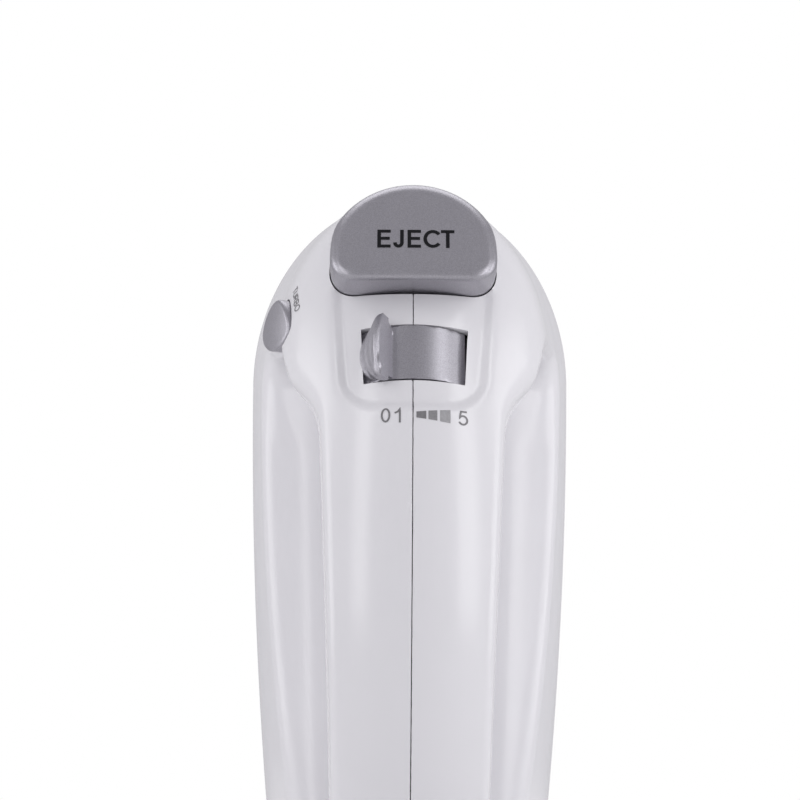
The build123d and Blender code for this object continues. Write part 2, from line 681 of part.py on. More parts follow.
def beater_blades(side):
    """Four strips bowed out from the shaft; the two beaters are set 45 degrees apart."""
    middle = CAGE_Y0 + 0.58 * (CAGE_Y1 - CAGE_Y0)
    outer = Spline((3.0, CAGE_Y0), (CAGE_R, middle), (3.0, CAGE_Y1), tangents=((1.0, 1.1), (-1.0, 0.3)))
    inner = Spline((3.0, CAGE_Y0 + 1.5), (CAGE_R - BLADE_THICK, middle), (3.0, CAGE_Y1 - BLADE_THICK),
                   tangents=((1.0, 1.1), (-1.0, 0.3)))
    strip = make_face([outer, inner, Line(outer @ 0, inner @ 0), Line(outer @ 1, inner @ 1)])
    strip = extrude(strip, BLADE_WIDE / 2, both=True)
    rings = rod_y(4.2, CAGE_Y0 - 3, CAGE_Y0 + 3, 0, 0) + rod_y(4.2, CAGE_Y1 - 4, CAGE_Y1 + 2, 0, 0)
    strip = strip - rings
    first = 0 if side < 0 else 45
    blades = [Pos(side * SPINDLE_X, 0, SPINDLE_Z) * Rot(0, first + 90 * k, 0) * strip for k in range(4)]
    return Compound(children=blades)


# ---- control electrics ----
BOARD_Y = -77.0


def control_board():
    return block(-13, 13, BOARD_Y, BOARD_Y + 1.6, 46, 106)


def board_components():
    """Capacitor, choke, triac with its cooling fin, and three resistors on the board."""
    capacitor = block(-10, -1, BOARD_Y - 7.5, BOARD_Y, 52, 66)
    choke = rod_y(4.5, BOARD_Y - 7, BOARD_Y, 6.5, 60)
    triac = block(-9, 1, BOARD_Y - 8, BOARD_Y, 76, 79)
    parts = [capacitor, choke, triac]
    for k in range(3):
        parts.append(rod_x(1.3, 2, 10, BOARD_Y - 1.3, 78 + 6 * k))
    return Compound(children=parts)


# ---- write the parts ----
os.makedirs("parts", exist_ok=True)

casing = shell() - casing_cuts()
for name, side in (("left_casing", -1), ("right_casing", 1)):
    half = casing & block(min(0, side * 80), max(0, side * 80), -150, 80, -20, 230)
    save(name, half)
save("heel_pad", heel_pad())
save("cord_gland", cord_gland())
save("casing_screws", casing_screws())

save("eject_button", eject_button())
save("eject_fork", eject_fork())
save("eject_spring", Pos(0, SHELF_Y, EJECT_Z) * Rot(90, 0, 0) * coil(7.0, 0.5, 5, SHELF_Y - SPRING_SEAT_Y))
save("speed_dial", speed_dial())
save("dial_axle", dial_axle())
save("dial_carrier", dial_carrier())
save("speed_switch", speed_switch())
save("turbo_button", turbo_button())
save("turbo_switch", turbo_switch())
save("turbo_spring", turbo_spring())
save("control_board", control_board())
save("board_components", board_components())

save("rear_bracket", rear_bracket())
save("stator_core", stator_core())
save("field_coils", field_coils())
save("brush_holders", brush_holders())
save("carbon_brushes", carbon_brushes())
save("brush_springs", brush_springs())
save("rear_bearing", bearing(17, 24))
save("front_bearing", bearing(104, 111))
save("tip_bearing", bearing(*TIP_WALL))
save("motor_shaft", motor_shaft())
save("armature_core", armature_core())
save("armature_winding", armature_winding())
save("commutator", commutator())
save("cooling_fan", cooling_fan())
save("worm", worm())
save("gearbox_frame", gearbox_frame())
save("spindle_bushes", spindle_bushes())
for name, side in (("left", -1), ("right", 1)):
    save(f"{name}_worm_wheel", worm_wheel(side))
    save(f"{name}_spindle", spindle(side))
    save(f"{name}_beater_shaft", beater_shaft(side))
    save(f"{name}_beater_collar", beater_collar(side))
    save(f"{name}_beater_ferrules", beater_ferrules(side))
    save(f"{name}_beater_blades", beater_blades(side))
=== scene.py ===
import json
from math import radians, tan

import bmesh
import bpy
import numpy as np
from mathutils import Matrix, Vector


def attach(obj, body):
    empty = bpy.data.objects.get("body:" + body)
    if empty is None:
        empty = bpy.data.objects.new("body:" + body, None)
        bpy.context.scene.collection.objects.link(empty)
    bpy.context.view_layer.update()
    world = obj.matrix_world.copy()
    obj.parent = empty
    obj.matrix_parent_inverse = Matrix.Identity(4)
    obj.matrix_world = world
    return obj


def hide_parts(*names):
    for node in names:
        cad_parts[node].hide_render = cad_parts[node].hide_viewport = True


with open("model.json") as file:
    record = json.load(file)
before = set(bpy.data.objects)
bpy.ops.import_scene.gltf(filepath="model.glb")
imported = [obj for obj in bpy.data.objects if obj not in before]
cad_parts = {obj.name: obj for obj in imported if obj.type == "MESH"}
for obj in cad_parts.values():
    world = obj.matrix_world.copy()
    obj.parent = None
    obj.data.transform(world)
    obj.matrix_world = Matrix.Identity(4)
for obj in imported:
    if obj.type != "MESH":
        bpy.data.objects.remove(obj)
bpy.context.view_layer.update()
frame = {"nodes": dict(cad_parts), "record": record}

MM = 0.001

# Shape sizes are in millimetres, in the frame of the CAD model; meshes are made in metres.
# X runs across the mixer, -Y to the handle side, +Z from heel to nose.

# ---- driving dimensions of the casing ----
HALF_WIDTH = 42.0
WIDEST_Z = 150.0         # level of the greatest width
WIDEST_Y = 12.0          # the flanks lean in on the handle side of this
NOSE = 50.0              # length of the oval nose
TAPER = 0.000409         # narrowing towards the heel
LEAN_IN = 0.39           # how far the flanks lean in at the widest level
LEAN_MORE = 0.0000237    # and how that grows towards the heel
RISE = 74.0              # depth over which they lean in
BELLY_Y = 38.0
BELLY_ROUND = 14.0
DECK_Y = -36.0           # floor of the hollows beside the handle
HEEL_Z = 3.0
ARCH_R = 150.0           # arch of the handle's back, with its centre
ARCH_Y = 53.0
ARCH_Z = 100.0
CROWN_R = 26.0           # rounding of that back from side to side
HANDLE_THICK = 32.0
SCOOP_Z = 142.0          # front end of the hollows
GAP_Z0 = 34.0            # ends of the finger gap
GAP_Z1 = 151.0
BEVEL = 55.6             # bevel at the heel, where y + z is minus this
WALL = 2.3
SEAM = 0.09              # half the gap between the two casing halves
GRID = 0.95              # spacing of the surface grid


# ---- implicit shapes: negative inside, about the distance in millimetres near the surface ----
def round_max(a, b, radius):
    """Intersection of two shapes with its edge rounded."""
    corner = np.hypot(np.maximum(a + radius, 0), np.maximum(b + radius, 0))
    return np.minimum(np.maximum(a, b), -radius) + corner


def soft_min(a, b, width):
    """Union of two shapes with a blend along the joint."""
    share = np.maximum(width - np.abs(a - b), 0) / width
    return np.minimum(a, b) - share * share * width * 0.25


def soft_max(a, b, width):
    """Intersection of two shapes with a blend along the joint."""
    return -soft_min(-a, -b, width)


def half_width(z):
    return HALF_WIDTH - TAPER * np.maximum(WIDEST_Z - z, 0) ** 2


def sides(x, y, z):
    """Flanks and nose: an oval nose, and flanks that lean in above the widest level."""
    wide = half_width(z)
    rise = np.clip((WIDEST_Y - y) / RISE, 0, 1)
    lean = LEAN_IN + LEAN_MORE * np.maximum(WIDEST_Z - z, 0) ** 2
    ahead = np.maximum(z - WIDEST_Z, 0)
    reach = np.sqrt((x / wide) ** 2 + lean * rise * rise * (3 - 2 * rise) + (ahead / NOSE) ** 2) + 1e-6
    steep = 3 * lean * rise * (1 - rise) / RISE
    slope = np.sqrt((x / wide ** 2) ** 2 + steep ** 2 + (ahead / NOSE ** 2) ** 2) + 1e-3
    return (reach - 1) * reach / slope


def arch_reach(y, z):
    return np.hypot(y - ARCH_Y, z - ARCH_Z)


def crown(x, y, z):
    """Top of handle and head: an arch from heel to nose, rounded from side to side."""
    steep = np.sqrt(1 + (x / CROWN_R) ** 2)
    return (arch_reach(y, z) - ARCH_R + x * x / (2 * CROWN_R)) / steep


def deck(x):
    return DECK_Y + x * x / 150


def handle_half(z):
    return 18.4 + 0.0405 * (z - 55)


def scoop(x, y, z):
    """What is missing beside the handle: a hollow with a wide round front and a round foot."""
    beside = handle_half(z) + 0.05 * (y + 80) - np.abs(x)
    plan = round_max(beside, z - SCOOP_Z, 14)
    return round_max(plan, y - deck(x), 13)


def finger_gap(x, y, z):
    under = arch_reach(y, z) - (ARCH_R - HANDLE_THICK) - x * x / 90
    gap = round_max(under, y - deck(x), 5)
    gap = round_max(gap, z - GAP_Z1, 8)
    return round_max(gap, GAP_Z0 - z, 6)


def pocket(x, y, z):
    """Thumb recess round the speed dial, open towards the eject button."""
    plan = round_max(np.abs(x) - 16.6 - 0.075 * (z - 150), 133.6 - z, 6.5)
    plan = np.maximum(0.5 * plan, z - 161.5)
    floor = ARCH_R - 1.35 - arch_reach(y, z) - x * x / (2 * CROWN_R)
    return round_max(plan, floor, 0.6)


def outer(x, y, z):
    """Outside of the casing without its openings."""
    body = round_max(sides(x, y, z), y - BELLY_Y + x * x / 900, BELLY_ROUND)
    body = soft_max(body, crown(x, y, z), 6)
    body = round_max(body, HEEL_Z - z, 4)
    edge = 2.0 + 5.5 * np.clip((z - 130) / 15, 0, 1)
    body = soft_max(body, -scoop(x, y, z), edge)
    body = soft_max(body, -finger_gap(x, y, z), 4)
    body = soft_max(body, (-y - BEVEL - z) / 1.4142, 1.5)
    return soft_max(body, -pocket(x, y, z), 1.8)


# ---- openings in the casing ----
SPINDLE_X = 19.5
SPINDLE_Z = 150.0
SCREWS = ((-44.0, 22.0, 7.0), (29.5, 48.0, 14.0), (29.5, 100.0, 14.0), (-71.0, 112.0, 8.0),
          (8.0, 187.0, 10.0))  # y, z and depth of the seat from the parting plane
SCREW_POST_R = {-1: 4.8, 1: 3.8}
SCREW_HOLE_R = 3.3
EJECT_REAR = 160.4
EJECT_ROUND_Z = 166.9
EJECT_ROUND_R = 20.5
EJECT_HALF = 19.7
PORT_R = {-1: 5.8, 1: 8.3}
VENT_ROWS = 6
VENT_X = 15
VENT_HALF = 7.9
VENT_Z = 18
VENT_STEP = 5
VENT_R = 1.1
DIAL_Z = 146.3


def arch_frame(z, depth=0.0):
    """Origin and axes on the arch: x across, y straight out, z towards the heel."""
    turn = (z - ARCH_Z) / ARCH_R
    along = (1 - turn ** 2) ** 0.5
    spot = (0, ARCH_Y - (ARCH_R - depth) * along, ARCH_Z + (ARCH_R - depth) * turn)
    return Vector(spot), (Vector((1, 0, 0)), Vector((0, -along, turn)), Vector((0, -turn, -along)))


def frame_of(spot, x_dir, z_dir):
    z_axis = Vector(z_dir).normalized()
    x_axis = Vector(x_dir)
    x_axis = (x_axis - z_axis * x_axis.dot(z_axis)).normalized()
    return Vector(spot), (x_axis, z_axis.cross(x_axis), z_axis)


DIAL_FRAME = arch_frame(DIAL_Z)
TURBO_FRAME = frame_of((-33.3, -62.3, 154.5), (0.46, -0.88, 0), (-0.88, -0.46, 0.03))
GLAND_FRAME = frame_of((0, -64.62, 9), (1, 0, 0), (0, -1, -1))


def local(place, x, y, z):
    """Coordinates in a frame of arch_frame() or frame_of()."""
    spot, axes = place
    dx, dy, dz = x - spot.x, y - spot.y, z - spot.z
    return [dx * axis.x + dy * axis.y + dz * axis.z for axis in axes]


def half_moon(x, z, grow, lean=0.0):
    """Outline of the eject button, straight towards the heel; lean moves that side to the nose."""
    plan = round_max(np.abs(x) - EJECT_HALF - grow, EJECT_REAR + lean - grow - z, 6.5 + grow)
    return soft_max(plan, np.hypot(x, z - EJECT_ROUND_Z) - EJECT_ROUND_R - grow, 2)


def egg(u, v, grow):
    """Outline of the turbo button: blunt towards the heel, pointed towards the nose."""
    wide = (7.6 + grow) * (1 - 0.035 * np.clip(v, 0, 7))
    long = np.where(v > 0, 7.6, 4.9) + grow
    reach = np.hypot(u / wide, v / long) + 1e-6
    return (reach - 1) * reach / (np.hypot(u / wide ** 2, v / long ** 2) + 1e-3)


def openings(x, y, z):
    """Everything that is cut through the casing wall."""
    cut = np.maximum(half_moon(x, z, 0.22), y + 58)
    u, out, along = local(DIAL_FRAME, x, y, z)
    across = np.abs(u - 0.3) - 12.0 + 0.05 * along
    window = np.maximum(round_max(across, np.abs(along) - 7.1, 0.5), np.abs(out) - 7)
    cut = np.minimum(cut, window)
    u, v, out = local(TURBO_FRAME, x, y, z)
    cut = np.minimum(cut, np.maximum(egg(u, v, 0.35), np.abs(out) - 12.4))
    u, v, out = local(GLAND_FRAME, x, y, z)
    cut = np.minimum(cut, np.maximum(np.hypot(u, v) - 7.15, np.abs(out) - 16))
    for side in (-1, 1):
        port = np.hypot(x - side * SPINDLE_X, z - SPINDLE_Z) - PORT_R[side] - 0.6 * np.maximum(y - 37, 0)
        cut = np.minimum(cut, np.maximum(port, 25 - y))
    for row in range(VENT_ROWS):
        slot_x = np.maximum(np.abs(np.abs(x) - VENT_X) - VENT_HALF, 0)
        slot = np.hypot(slot_x, z - VENT_Z - VENT_STEP * row) - VENT_R
        cut = np.minimum(cut, np.maximum(slot, 28 - y))
    return cut


def casing(side):
    """Field of one casing half, -1 on the left and 1 on the right."""
    def field(x, y, z):
        skin = outer(x, y, z)
        hollow = skin + WALL
        for spot_y, spot_z, _ in SCREWS:
            post = np.hypot(y - spot_y, z - spot_z) - SCREW_POST_R[side]
            hollow = np.maximum(hollow, -post)
        shell = np.maximum(skin, -hollow)
        shell = np.maximum(shell, -openings(x, y, z))
        if side < 0:
            for spot_y, spot_z, seat in SCREWS:
                across = np.hypot(y - spot_y, z - spot_z)
                shell = np.maximum(shell, -np.maximum(across - SCREW_HOLE_R, x + seat))
        return round_max(shell, SEAM - side * x, 0.35)
    return field


# ---- meshing of implicit shapes by dual contouring ----
FLATNESS = 0.04          # pull of each point towards the middle of its crossings
REACH = 0.9              # how far it may move from there, in grid steps


def slope_of(field, points):
    """Unit normals of the field at the points."""
    step = 0.02
    parts = []
    for axis in range(3):
        move = np.zeros(3)
        move[axis] = step
        parts.append(field(*(points + move).T) - field(*(points - move).T))
    normal = np.stack(parts, axis=1)
    return normal / (np.linalg.norm(normal, axis=1, keepdims=True) + 1e-12)


def crossings(field, grid, low, step, axis):
    """Grid edges along one axis that cross the surface, and where."""
    first = np.take(grid, range(grid.shape[axis] - 1), axis)
    second = np.take(grid, range(1, grid.shape[axis]), axis)
    cells = np.argwhere((first < 0) != (second < 0))
    a = first[tuple(cells.T)].astype(float)
    b = second[tuple(cells.T)].astype(float)
    start = low + cells * step
    near, far = np.zeros(len(cells)), np.ones(len(cells))
    for _ in range(4):
        share = np.clip(a / (a - b), 0.02, 0.98)
        spot = near + (far - near) * share
        points = start.copy()
        points[:, axis] += spot * step
        value = field(*points.T)
        left = (value < 0) == (a < 0)
        near, a = np.where(left, spot, near), np.where(left, value, a)
        far, b = np.where(left, far, spot), np.where(left, b, value)
    return cells, points, first[tuple(cells.T)] < 0


def dual_contour(field, low, high, step):
    """Closed quad mesh of the field's surface, with sharp edges kept."""
    low = np.array(low, float)
    lines = [np.arange(low[i], high[i] + step, step) for i in range(3)]
    shape = np.array([len(line) for line in lines])
    grid = np.empty(shape, np.float32)
    for k, x in enumerate(lines[0]):
        y, z = np.meshgrid(lines[1], lines[2], indexing="ij")
        grid[k] = field(np.full(y.shape, x), y, z)
    rows = shape[1] * shape[2], shape[2], 1
    quads, owners, spots, normals = [], [], [], []
    for axis in range(3):
        cells, points, starts_inside = crossings(field, grid, low, step, axis)
        normal = slope_of(field, points)
        one, two = (axis + 1) % 3, (axis + 2) % 3
        base = cells @ np.array(rows)
        ring = [base, base - rows[one], base - rows[one] - rows[two], base - rows[two]]
        quad = np.stack(ring, axis=1)
        quad[~starts_inside] = quad[~starts_inside][:, ::-1]
        quads.append(quad)
        for corner in ring:
            owners.append(corner)
            spots.append(points)
            normals.append(normal)
    owner = np.concatenate(owners)
    names, index = np.unique(owner, return_inverse=True)
    spots, normals = np.concatenate(spots), np.concatenate(normals)
    count = np.bincount(index).astype(float)
    middle = np.stack([np.bincount(index, spots[:, i]) for i in range(3)], axis=1) / count[:, None]
    offset = np.einsum("ij,ij->i", normals, spots - middle[index])
    matrix = np.empty((len(names), 3, 3))
    target = np.empty((len(names), 3))
    for i in range(3):
        target[:, i] = np.bincount(index, normals[:, i] * offset)
        for j in range(3):
            matrix[:, i, j] = np.bincount(index, normals[:, i] * normals[:, j])
    matrix += FLATNESS * np.eye(3)
    move = np.linalg.solve(matrix, target[:, :, None])[:, :, 0]
    vertex = middle + np.clip(move, -REACH * step, REACH * step)
    faces = np.searchsorted(names, np.concatenate(quads))
    return vertex, faces


def mesh_piece(name, vertices, faces, material, sharp=32):
    """Object from points in millimetres, smooth apart from edges over the sharp angle."""
    mesh = bpy.data.meshes.new(name)
    mesh.from_pydata((np.asarray(vertices) * MM).tolist(), [], [list(map(int, face)) for face in faces])
    mesh.update()
    mesh.materials.append(material)
    piece = bpy.data.objects.new(name, mesh)
    bpy.context.scene.collection.objects.link(piece)
    edit = bmesh.new()
    edit.from_mesh(mesh)
    bmesh.ops.recalc_face_normals(edit, faces=edit.faces)
    for edge in edit.edges:
        edge.smooth = len(edge.link_faces) == 2 and edge.calc_face_angle(0) < radians(sharp)
    for face in edit.faces:
        face.smooth = True
    edit.to_mesh(mesh)
    edit.free()
    return piece


def field_piece(name, field, low, high, step, material, sharp=32):
    vertices, faces = dual_contour(field, low, high, step)
    return mesh_piece(name, vertices, faces, material, sharp)


# ---- materials ----
def shader(name, color, roughness, metallic=0.0, **sockets):
    """New material with its Principled shader; sockets are given by name with _ for spaces."""
    material = bpy.data.materials.new(name)
    material.use_nodes = True
    node = material.node_tree.nodes["Principled BSDF"]
    node.inputs["Base Color"].default_value = (*color, 1)
    node.inputs["Roughness"].default_value = roughness
    node.inputs["Metallic"].default_value = metallic
    for key, value in sockets.items():
        node.inputs[key.replace("_", " ")].default_value = value
    return material, node


def noise(material, scale, detail=3.0, stretch=(1, 1, 1)):
    """Noise in the object's own space; scale is per metre."""
    tree = material.node_tree
    place = tree.nodes.new("ShaderNodeTexCoord")
    squeeze = tree.nodes.new("ShaderNodeMapping")
    squeeze.inputs["Scale"].default_value = stretch
    texture = tree.nodes.new("ShaderNodeTexNoise")
    texture.inputs["Scale"].default_value = scale
    texture.inputs["Detail"].default_value = detail
    tree.links.new(place.outputs["Object"], squeeze.inputs["Vector"])
    tree.links.new(squeeze.outputs["Vector"], texture.inputs["Vector"])
    return texture.outputs["Fac"]


def ramp(material, source, low, high, start=0.3, end=0.7):
    """Colour ramp between two colours, driven by source."""
    node = material.node_tree.nodes.new("ShaderNodeValToRGB")
    node.color_ramp.elements[0].position = start
    node.color_ramp.elements[1].position = end
    node.color_ramp.elements[0].color = (*low, 1)
    node.color_ramp.elements[1].color = (*high, 1)
    material.node_tree.links.new(source, node.inputs["Fac"])
    return node.outputs["Color"]


def spread(material, source, low, high):
    """Number between low and high, driven by source."""
    node = material.node_tree.nodes.new("ShaderNodeMapRange")
    node.inputs["To Min"].default_value = low
    node.inputs["To Max"].default_value = high
    material.node_tree.links.new(source, node.inputs["Value"])
    return node.outputs["Result"]


def bump(material, node, source, height_mm, strength=1.0):
    """Fine relief in the shader's normal."""
    bumper = material.node_tree.nodes.new("ShaderNodeBump")
    bumper.inputs["Distance"].default_value = height_mm * MM
    bumper.inputs["Strength"].default_value = strength
    material.node_tree.links.new(source, bumper.inputs["Height"])
    material.node_tree.links.new(bumper.outputs["Normal"], node.inputs["Normal"])


def link(material, source, node, socket):
    material.node_tree.links.new(source, node.inputs[socket])


def shade(color, factor):
    return tuple(min(1.0, channel * factor) for channel in color)


def gloss_white():
    """Glossy white moulding: faint flow marks, slight unevenness in gloss."""
    color = (0.745, 0.735, 0.765)
    material, node = shader("gloss_white_plastic", color, 0.2, Specular_IOR_Level=0.5)
    cloud = noise(material, 28, 2)
    link(material, ramp(material, cloud, shade(color, 0.985), shade(color, 1.012)), node, "Base Color")
    link(material, spread(material, noise(material, 90, 4), 0.16, 0.25), node, "Roughness")
    bump(material, node, noise(material, 140, 2), 0.02, 0.35)
    return material


def silver_paint():
    """Satin metallic paint on plastic: fine flakes in colour and relief."""
    color = (0.385, 0.375, 0.41)
    material, node = shader("silver_metallic_paint", color, 0.31, 0.87)
    flake = noise(material, 5200, 2)
    flakes = ramp(material, flake, shade(color, 0.86), shade(color, 1.16), 0.35, 0.65)
    link(material, flakes, node, "Base Color")
    link(material, spread(material, noise(material, 300, 3), 0.34, 0.44), node, "Roughness")
    bump(material, node, noise(material, 2600, 2), 0.02, 0.3)
    return material


def ink(name, color):
    """Pad-printed ink with slightly uneven cover."""
    material, node = shader(name, color, 0.6, Specular_IOR_Level=0.15)
    cover = noise(material, 1500, 3)
    link(material, ramp(material, cover, shade(color, 0.9), shade(color, 1.1)), node, "Base Color")
    return material


def grained(name, color, roughness, grain=900, depth=0.03, metallic=0.0, stretch=(1, 1, 1), **sockets):
    """Common finish: colour and roughness that vary a little, with a fine relief."""
    material, node = shader(name, color, roughness, metallic, **sockets)
    texture = noise(material, grain, 3, stretch)
    link(material, ramp(material, texture, shade(color, 0.88), shade(color, 1.1)), node, "Base Color")
    link(material, spread(material, noise(material, grain / 7, 2), roughness * 0.85, roughness * 1.15), node,
         "Roughness")
    bump(material, node, texture, depth, 0.5)
    return material


def laminations():
    """Stacked steel sheets, seen as fine lines across the motor's axis."""
    material, node = shader("motor_laminations", (0.2, 0.2, 0.21), 0.45, 0.8)
    tree = material.node_tree
    place = tree.nodes.new("ShaderNodeTexCoord")
    wave = tree.nodes.new("ShaderNodeTexWave")
    wave.bands_direction = "Z"
    wave.inputs["Scale"].default_value = 320
    tree.links.new(place.outputs["Object"], wave.inputs["Vector"])
    lines = ramp(material, wave.outputs["Fac"], (0.1, 0.1, 0.11), (0.3, 0.3, 0.32))
    link(material, lines, node, "Base Color")
    bump(material, node, wave.outputs["Fac"], 0.1, 0.6)
    return material


WHITE = gloss_white()
SILVER = silver_paint()
SLOT_MATERIALS = {
    "casing": WHITE,
    "button": SILVER,
    "pad": grained("soft_grey_rubber", (0.05, 0.05, 0.055), 0.75, 1500, 0.05),
    "gland": grained("pale_grey_rubber", (0.42, 0.42, 0.44), 0.6, 1400, 0.04),
    "steel": grained("zinc_plated_steel", (0.5, 0.5, 0.52), 0.32, 1800, 0.01, 1.0),
    "beater": grained("chromed_steel", (0.66, 0.66, 0.68), 0.14, 700, 0.004, 1.0, (1, 0.1, 1)),
    "frame": grained("black_glass_filled_nylon", (0.03, 0.03, 0.033), 0.55, 1600, 0.04),
    "copper": grained("enamelled_copper_wire", (0.42, 0.14, 0.05), 0.3, 2200, 0.12, 0.8, (1, 1, 0.2)),
    "lamination": laminations(),
    "brass": grained("brass", (0.6, 0.42, 0.16), 0.3, 1500, 0.01, 1.0),
    "carbon": grained("carbon", (0.02, 0.02, 0.02), 0.7, 2200, 0.03),
    "board": grained("circuit_board", (0.02, 0.09, 0.03), 0.4, 700, 0.02),
    "parts": grained("component_body", (0.16, 0.1, 0.04), 0.4, 1500, 0.02),
    "gear": grained("acetal", (0.68, 0.64, 0.52), 0.35, 1200, 0.02),
}


def paint_cad_nodes():
    """Gives each node of the CAD model the material of its slot."""
    for part in frame["record"]["subparts"]:
        mesh = frame["nodes"][part["node"]].data
        mesh.materials.clear()
        mesh.materials.append(SLOT_MATERIALS[part["material_slot"]])


# ---- casing halves ----
def make_casing():
    for name, side in (("left_casing", -1), ("right_casing", 1)):
        low = (min(0, side * 43.5) - 0.4, -99.5, 1.3)
        high = (max(0, side * 43.5) + 0.4, 40.5, 202)
        shell = field_piece(f"{name}_shell", casing(side), low, high, GRID, WHITE)
        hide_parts(name)
        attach(shell, "casing")


# ---- eject button ----
EJECT_TOP_Y = -93.4
EJECT_SLOPE = tan(radians(29.0))
EJECT_SKIN = 3.4
SKIRT_Y = -66            # lower rim of the button's skirt
STEM_Z = 173


def eject_top(x, z):
    """Height of the button's top face: sloping and slightly domed."""
    return EJECT_TOP_Y + (z - EJECT_REAR) * EJECT_SLOPE + x * x / 500


def eject_field(x, y, z):
    """Hollow cap with a leaning rear wall, its stem and the seat of its spring."""
    above = np.maximum(-80 - y, 0)
    plan = half_moon(x, z, -0.05, 0.14 * above) + 0.02 * above
    top = (eject_top(x, z) - y) / 1.14
    cap = round_max(plan, top, 2.3)
    cap = np.maximum(cap, y - SKIRT_Y)
    inner = np.maximum(half_moon(x, z, -2.2), (eject_top(x, z) + EJECT_SKIN - y) / 1.14)
    stem = np.maximum(np.abs(x) - 5, np.abs(z - STEM_Z) - 2.5)
    inner = np.maximum(inner, -stem)
    seat = np.maximum(np.maximum(np.abs(x) - 8, np.abs(z - STEM_Z) - 8), np.abs(y + 67.75) - 1.25)
    shaft = np.maximum(stem, np.abs(y + 58) - 27)
    return np.minimum(np.minimum(np.maximum(cap, -inner), seat), np.maximum(shaft, top + 1))


def make_eject_button():
    cap = field_piece("eject_button_cap", eject_field, (-21.5, -95, 157), (21.5, -30, 188), 0.6, SILVER)
    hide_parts("eject_button")
    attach(cap, "eject_button")


# ---- speed dial ----
DIAL_DEPTH = 18.2
DIAL_REST = 25.0         # turn of the knob from the middle at rest, degrees
DRUM_HALF = 6.75
DRUM_COVER = radians(70)
KNOB_AHEAD = -0.1
KNOB_FACE = 2.2
KNOB_HALF = 7.9
KNOB_TOP = 23.8


def dial_field(x, y, z):
    """Drum sector with webs and hub, and the ribbed thumb knob that stands on it."""
    u, out, along = local(arch_frame(DIAL_Z, DIAL_DEPTH), x, y, z)
    turn = radians(DIAL_REST)
    u, out = u * np.cos(turn) + out * np.sin(turn), out * np.cos(turn) - u * np.sin(turn)
    radius = np.hypot(u, out)
    cover = np.abs(u) * np.cos(DRUM_COVER) - out * np.sin(DRUM_COVER)
    drum = round_max(np.abs(radius - 15.9) - 1.1, np.abs(along) - DRUM_HALF, 0.25)
    web = np.maximum(radius - 15.5, np.abs(np.abs(along) - 5.95) - 0.8)
    drum = np.maximum(np.minimum(drum, web), cover)
    hub = np.maximum(radius - 3.2, np.abs(along) - DRUM_HALF)
    body = np.maximum(np.minimum(drum, hub), 1.5 - radius)
    deep = np.clip(7.6 - 1.04 * (out - 17.5) + 0.22 * np.cos((out - 17.5) * 2 * np.pi / 2.1), 0.7, 9.5)
    ahead = along - KNOB_AHEAD
    reach = np.hypot((KNOB_FACE - u) / deep, ahead / KNOB_HALF) + 1e-6
    slope = np.hypot((KNOB_FACE - u) / deep ** 2, ahead / KNOB_HALF ** 2) + 1e-3
    knob = np.maximum((reach - 1) * reach / slope * 0.75, u - KNOB_FACE - 0.06 * (KNOB_TOP - out))
    knob = round_max(knob, out - KNOB_TOP + ahead ** 2 / 32, 0.5)
    foot = 15.6 + 3.3 * np.clip((np.abs(along) - 6.0) / 0.8, 0, 1)
    return soft_min(body, np.maximum(knob, foot - radius), 0.4)


def make_speed_dial():
    dial = field_piece("speed_dial_drum", dial_field, (-19, -104, 126), (19, -66, 158), 0.5, SILVER)
    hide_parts("speed_dial")
    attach(dial, "speed_dial")


# ---- turbo button ----
def turbo_field(x, y, z):
    """Egg-shaped plug with a slightly domed face."""
    u, v, out = local(TURBO_FRAME, x, y, z)
    face = out - 0.2 + 0.012 * u * u + 0.012 * v * v
    cap = round_max(egg(u, v, 0), face, 0.8)
    return np.maximum(cap, -9.6 - out)


def make_turbo_button():
    cap = field_piece("turbo_button_cap", turbo_field, (-43, -74, 148), (-18, -50, 168), 0.5, SILVER)
    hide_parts("turbo_button")
    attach(cap, "turbo_button")


# ---- printed marks ----
INK_LIFT = 0.08
SCALE_Z = 130.8


def drop_on(field, points, direction):
    """Moves points along a direction until they meet the field's surface from outside."""
    direction = np.array(direction, float)
    points = points - direction * 12
    for _ in range(60):
        gap = field(*points.T)
        points = points + direction * np.clip(gap, -1.5, 1.5)[:, None] * 0.8
    return points - direction * INK_LIFT


def arc(middle_x, middle_y, radius_x, radius_y, start, stop):
    """Points of part of an ellipse, angles in degrees."""
    count = int(abs(stop - start) / 15) + 1
    angles = np.radians(np.linspace(start, stop, count + 1))
    return [(middle_x + radius_x * np.cos(a), middle_y + radius_y * np.sin(a)) for a in angles]


